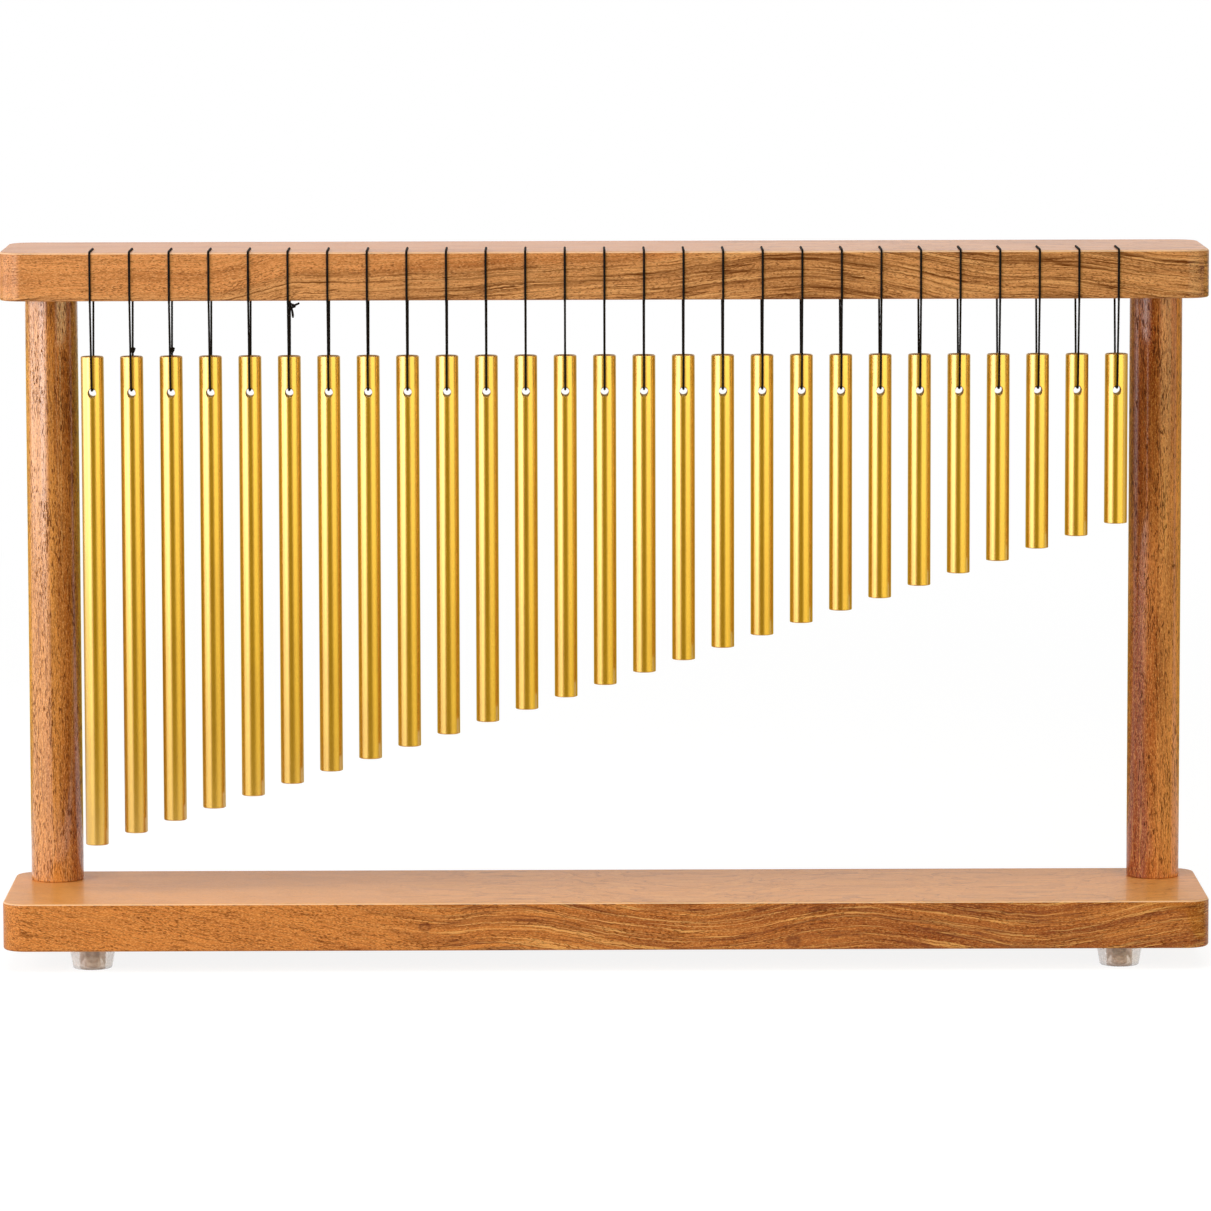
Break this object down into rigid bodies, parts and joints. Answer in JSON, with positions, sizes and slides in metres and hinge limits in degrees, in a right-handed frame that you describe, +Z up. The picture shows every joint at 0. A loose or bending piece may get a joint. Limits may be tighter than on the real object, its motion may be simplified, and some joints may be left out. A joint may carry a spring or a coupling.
{
  "type": "tabletop bar chimes",
  "caption": "Tabletop bar chimes: gold metal bars of falling length hang on black cord loops from the beam of a wooden stand with round posts.",
  "frame": {"origin": "middle of the overall box, on the surface that the feet stand on", "axes": "+X to the player's right along the beam, -Y to the front, +Z up"},
  "size_m": [0.5, 0.09, 0.2978],
  "materials": {
    "wood": "satin oiled hardwood, warm orange-brown with dark pores and flowing grain",
    "bar": "satin gold anodised",
    "cord": "matte braided black cord",
    "rubber": "clear moulded rubber over a steel washer and screw"
  },
  "bodies": {
    "stand": {"base_board": "wood", "top_beam": "wood", "left_post": "wood", "right_post": "wood", "front_left_foot": "rubber", "front_right_foot": "rubber"},
    "swing_01": {"chime_01": "bar", "cord_01": "cord"},
    "swing_02": {"chime_02": "bar", "cord_02": "cord"},
    "swing_03": {"chime_03": "bar", "cord_03": "cord"},
    "swing_04": {"chime_04": "bar", "cord_04": "cord"},
    "swing_05": {"chime_05": "bar", "cord_05": "cord"},
    "swing_06": {"chime_06": "bar", "cord_06": "cord"},
    "swing_07": {"chime_07": "bar", "cord_07": "cord"},
    "swing_08": {"chime_08": "bar", "cord_08": "cord"},
    "swing_09": {"chime_09": "bar", "cord_09": "cord"},
    "swing_10": {"chime_10": "bar", "cord_10": "cord"},
    "swing_11": {"chime_11": "bar", "cord_11": "cord"},
    "swing_12": {"chime_12": "bar", "cord_12": "cord"},
    "swing_13": {"chime_13": "bar", "cord_13": "cord"},
    "swing_14": {"chime_14": "bar", "cord_14": "cord"},
    "swing_15": {"chime_15": "bar", "cord_15": "cord"},
    "swing_16": {"chime_16": "bar", "cord_16": "cord"},
    "swing_17": {"chime_17": "bar", "cord_17": "cord"},
    "swing_18": {"chime_18": "bar", "cord_18": "cord"},
    "swing_19": {"chime_19": "bar", "cord_19": "cord"},
    "swing_20": {"chime_20": "bar", "cord_20": "cord"},
    "swing_21": {"chime_21": "bar", "cord_21": "cord"},
    "swing_22": {"chime_22": "bar", "cord_22": "cord"},
    "swing_23": {"chime_23": "bar", "cord_23": "cord"},
    "swing_24": {"chime_24": "bar", "cord_24": "cord"},
    "swing_25": {"chime_25": "bar", "cord_25": "cord"},
    "swing_26": {"chime_26": "bar", "cord_26": "cord"},
    "swing_27": {"chime_27": "bar", "cord_27": "cord"}
  },
  "joints": [
    {"name": "swing_01", "type": "hinge", "parent": "stand", "child": "swing_01", "pos_m": [-0.212, -0.01418, 0.2764], "axis": [0, -1, 0], "range_deg": [-70, 1.68]},
    {"name": "swing_02", "type": "hinge", "parent": "stand", "child": "swing_02", "pos_m": [-0.19569, -0.01418, 0.2764], "axis": [0, -1, 0], "range_deg": [-1.68, 1.72]},
    {"name": "swing_03", "type": "hinge", "parent": "stand", "child": "swing_03", "pos_m": [-0.17938, -0.01418, 0.2764], "axis": [0, -1, 0], "range_deg": [-1.72, 1.76]},
    {"name": "swing_04", "type": "hinge", "parent": "stand", "child": "swing_04", "pos_m": [-0.16308, -0.01418, 0.2764], "axis": [0, -1, 0], "range_deg": [-1.76, 1.81]},
    {"name": "swing_05", "type": "hinge", "parent": "stand", "child": "swing_05", "pos_m": [-0.14677, -0.01418, 0.2764], "axis": [0, -1, 0], "range_deg": [-1.81, 1.85]},
    {"name": "swing_06", "type": "hinge", "parent": "stand", "child": "swing_06", "pos_m": [-0.13046, -0.01418, 0.2764], "axis": [0, -1, 0], "range_deg": [-1.85, 1.9]},
    {"name": "swing_07", "type": "hinge", "parent": "stand", "child": "swing_07", "pos_m": [-0.11415, -0.01418, 0.2764], "axis": [0, -1, 0], "range_deg": [-1.9, 1.95]},
    {"name": "swing_08", "type": "hinge", "parent": "stand", "child": "swing_08", "pos_m": [-0.09785, -0.01418, 0.2764], "axis": [0, -1, 0], "range_deg": [-1.95, 2.01]},
    {"name": "swing_09", "type": "hinge", "parent": "stand", "child": "swing_09", "pos_m": [-0.08154, -0.01418, 0.2764], "axis": [0, -1, 0], "range_deg": [-2.01, 2.06]},
    {"name": "swing_10", "type": "hinge", "parent": "stand", "child": "swing_10", "pos_m": [-0.06523, -0.01418, 0.2764], "axis": [0, -1, 0], "range_deg": [-2.06, 2.12]},
    {"name": "swing_11", "type": "hinge", "parent": "stand", "child": "swing_11", "pos_m": [-0.04892, -0.01418, 0.2764], "axis": [0, -1, 0], "range_deg": [-2.12, 2.19]},
    {"name": "swing_12", "type": "hinge", "parent": "stand", "child": "swing_12", "pos_m": [-0.03262, -0.01418, 0.2764], "axis": [0, -1, 0], "range_deg": [-2.19, 2.25]},
    {"name": "swing_13", "type": "hinge", "parent": "stand", "child": "swing_13", "pos_m": [-0.01631, -0.01418, 0.2764], "axis": [0, -1, 0], "range_deg": [-2.26, 2.33]},
    {"name": "swing_14", "type": "hinge", "parent": "stand", "child": "swing_14", "pos_m": [0, -0.01418, 0.2764], "axis": [0, -1, 0], "range_deg": [-2.33, 2.4]},
    {"name": "swing_15", "type": "hinge", "parent": "stand", "child": "swing_15", "pos_m": [0.01631, -0.01418, 0.2764], "axis": [0, -1, 0], "range_deg": [-2.41, 2.49]},
    {"name": "swing_16", "type": "hinge", "parent": "stand", "child": "swing_16", "pos_m": [0.03262, -0.01418, 0.2764], "axis": [0, -1, 0], "range_deg": [-2.49, 2.57]},
    {"name": "swing_17", "type": "hinge", "parent": "stand", "child": "swing_17", "pos_m": [0.04892, -0.01418, 0.2764], "axis": [0, -1, 0], "range_deg": [-2.58, 2.67]},
    {"name": "swing_18", "type": "hinge", "parent": "stand", "child": "swing_18", "pos_m": [0.06523, -0.01418, 0.2764], "axis": [0, -1, 0], "range_deg": [-2.67, 2.77]},
    {"name": "swing_19", "type": "hinge", "parent": "stand", "child": "swing_19", "pos_m": [0.08154, -0.01418, 0.2764], "axis": [0, -1, 0], "range_deg": [-2.77, 2.88]},
    {"name": "swing_20", "type": "hinge", "parent": "stand", "child": "swing_20", "pos_m": [0.09785, -0.01418, 0.2764], "axis": [0, -1, 0], "range_deg": [-2.88, 3]},
    {"name": "swing_21", "type": "hinge", "parent": "stand", "child": "swing_21", "pos_m": [0.11415, -0.01418, 0.2764], "axis": [0, -1, 0], "range_deg": [-3, 3.13]},
    {"name": "swing_22", "type": "hinge", "parent": "stand", "child": "swing_22", "pos_m": [0.13046, -0.01418, 0.2764], "axis": [0, -1, 0], "range_deg": [-3.13, 3.27]},
    {"name": "swing_23", "type": "hinge", "parent": "stand", "child": "swing_23", "pos_m": [0.14677, -0.01418, 0.2764], "axis": [0, -1, 0], "range_deg": [-3.27, 3.42]},
    {"name": "swing_24", "type": "hinge", "parent": "stand", "child": "swing_24", "pos_m": [0.16308, -0.01418, 0.2764], "axis": [0, -1, 0], "range_deg": [-3.43, 3.59]},
    {"name": "swing_25", "type": "hinge", "parent": "stand", "child": "swing_25", "pos_m": [0.17938, -0.01418, 0.2764], "axis": [0, -1, 0], "range_deg": [-3.6, 3.78]},
    {"name": "swing_26", "type": "hinge", "parent": "stand", "child": "swing_26", "pos_m": [0.19569, -0.01418, 0.2764], "axis": [0, -1, 0], "range_deg": [-3.79, 3.99]},
    {"name": "swing_27", "type": "hinge", "parent": "stand", "child": "swing_27", "pos_m": [0.212, -0.01418, 0.2764], "axis": [0, -1, 0], "range_deg": [-4, 70]}
  ]
}
